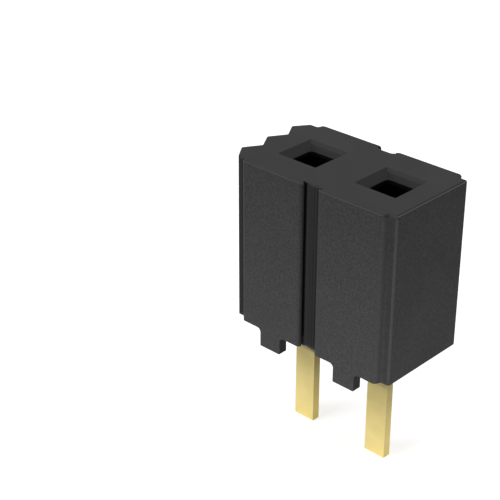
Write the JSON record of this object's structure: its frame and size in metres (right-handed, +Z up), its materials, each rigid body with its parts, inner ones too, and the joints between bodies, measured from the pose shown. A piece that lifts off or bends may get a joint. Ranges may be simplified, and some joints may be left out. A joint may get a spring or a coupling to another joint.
{
  "type": "socket header",
  "caption": "Low single-row socket header for a circuit board: a moulded block on small feet with square flared sockets, and folded spring contacts with flat solder tails.",
  "frame": {"origin": "on the board surface, which the feet stand on, under the middle of the row of sockets", "axes": "+X along the row from the toothed end to the plain end, +Y across the row towards the side away from the stepped tails, +Z up out of the board towards the socket mouths"},
  "size_m": [0.0055, 0.0032, 0.0081],
  "materials": {
    "housing": "moulded black plastic, fine grain",
    "contact": "gold plated sheet"
  },
  "bodies": {
    "root": {"housing": "housing", "contact_1": "contact", "contact_2": "contact"}
  },
  "joints": []
}
